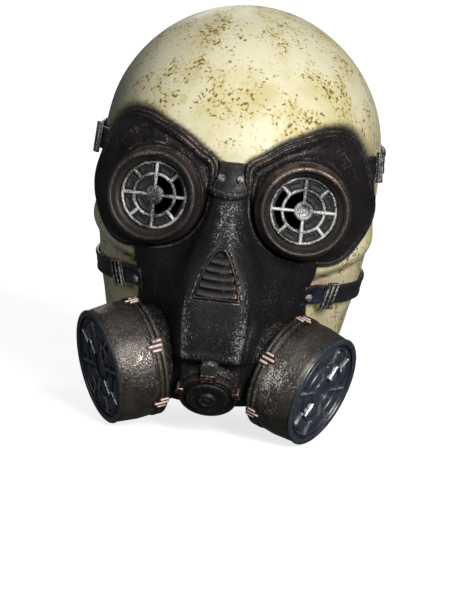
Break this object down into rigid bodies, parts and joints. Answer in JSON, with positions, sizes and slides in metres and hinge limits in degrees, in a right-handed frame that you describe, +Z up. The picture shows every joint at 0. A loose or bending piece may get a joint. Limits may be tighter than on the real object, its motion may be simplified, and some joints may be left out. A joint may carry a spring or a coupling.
{
  "type": "gas mask style costume mask",
  "caption": "Full head costume mask: a bone coloured skull hood with a dark goggled breathing mask, drum filters, an outlet valve and buckled straps.",
  "frame": {"origin": "inside the top of the crown, where a head bears on the hood", "axes": "+Z up, -Y the way the face looks, +X to the viewer's right"},
  "size_m": [0.1904, 0.257, 0.2712],
  "materials": {
    "bone_latex": "satin",
    "black_latex": "satin",
    "bronze_latex": "satin",
    "silver_latex": "satin",
    "copper_latex": "satin",
    "blue_black_latex": "satin",
    "gauze_latex": "matte"
  },
  "bodies": {
    "root": {"skull_hood": "bone_latex", "face_piece": "black_latex", "goggle_frame_left": "black_latex", "goggle_frame_right": "black_latex", "eye_ring_left": "bronze_latex", "eye_ring_right": "bronze_latex", "eye_grille_left": "silver_latex", "eye_grille_right": "silver_latex", "eye_screen_left": "gauze_latex", "eye_screen_right": "gauze_latex", "filter_housing_left": "bronze_latex", "filter_housing_right": "bronze_latex", "filter_face_left": "blue_black_latex", "filter_face_right": "blue_black_latex", "filter_clasp_left_1": "copper_latex", "filter_clasp_left_2": "copper_latex", "filter_clasp_left_3": "copper_latex", "filter_clasp_left_4": "copper_latex", "filter_clasp_left_5": "copper_latex", "filter_clasp_left_6": "copper_latex", "filter_clasp_right_1": "copper_latex", "filter_clasp_right_2": "copper_latex", "filter_clasp_right_3": "copper_latex", "filter_clasp_right_4": "copper_latex", "filter_clasp_right_5": "copper_latex", "filter_clasp_right_6": "copper_latex", "bridge_bar": "black_latex", "bridge_stud_left": "silver_latex", "bridge_stud_right": "silver_latex", "nose_vent": "bronze_latex", "valve_cap": "blue_black_latex", "valve_collar": "bronze_latex", "brow_strap": "blue_black_latex", "brow_tab_left": "blue_black_latex", "brow_tab_right": "blue_black_latex", "brow_buckle_left": "silver_latex", "brow_buckle_right": "silver_latex", "cheek_strap": "blue_black_latex", "cheek_tab_left": "blue_black_latex", "cheek_tab_right": "blue_black_latex", "cheek_buckle_left": "silver_latex", "cheek_buckle_right": "silver_latex", "cheek_rivet_left": "copper_latex", "cheek_rivet_right": "copper_latex"}
  },
  "joints": []
}
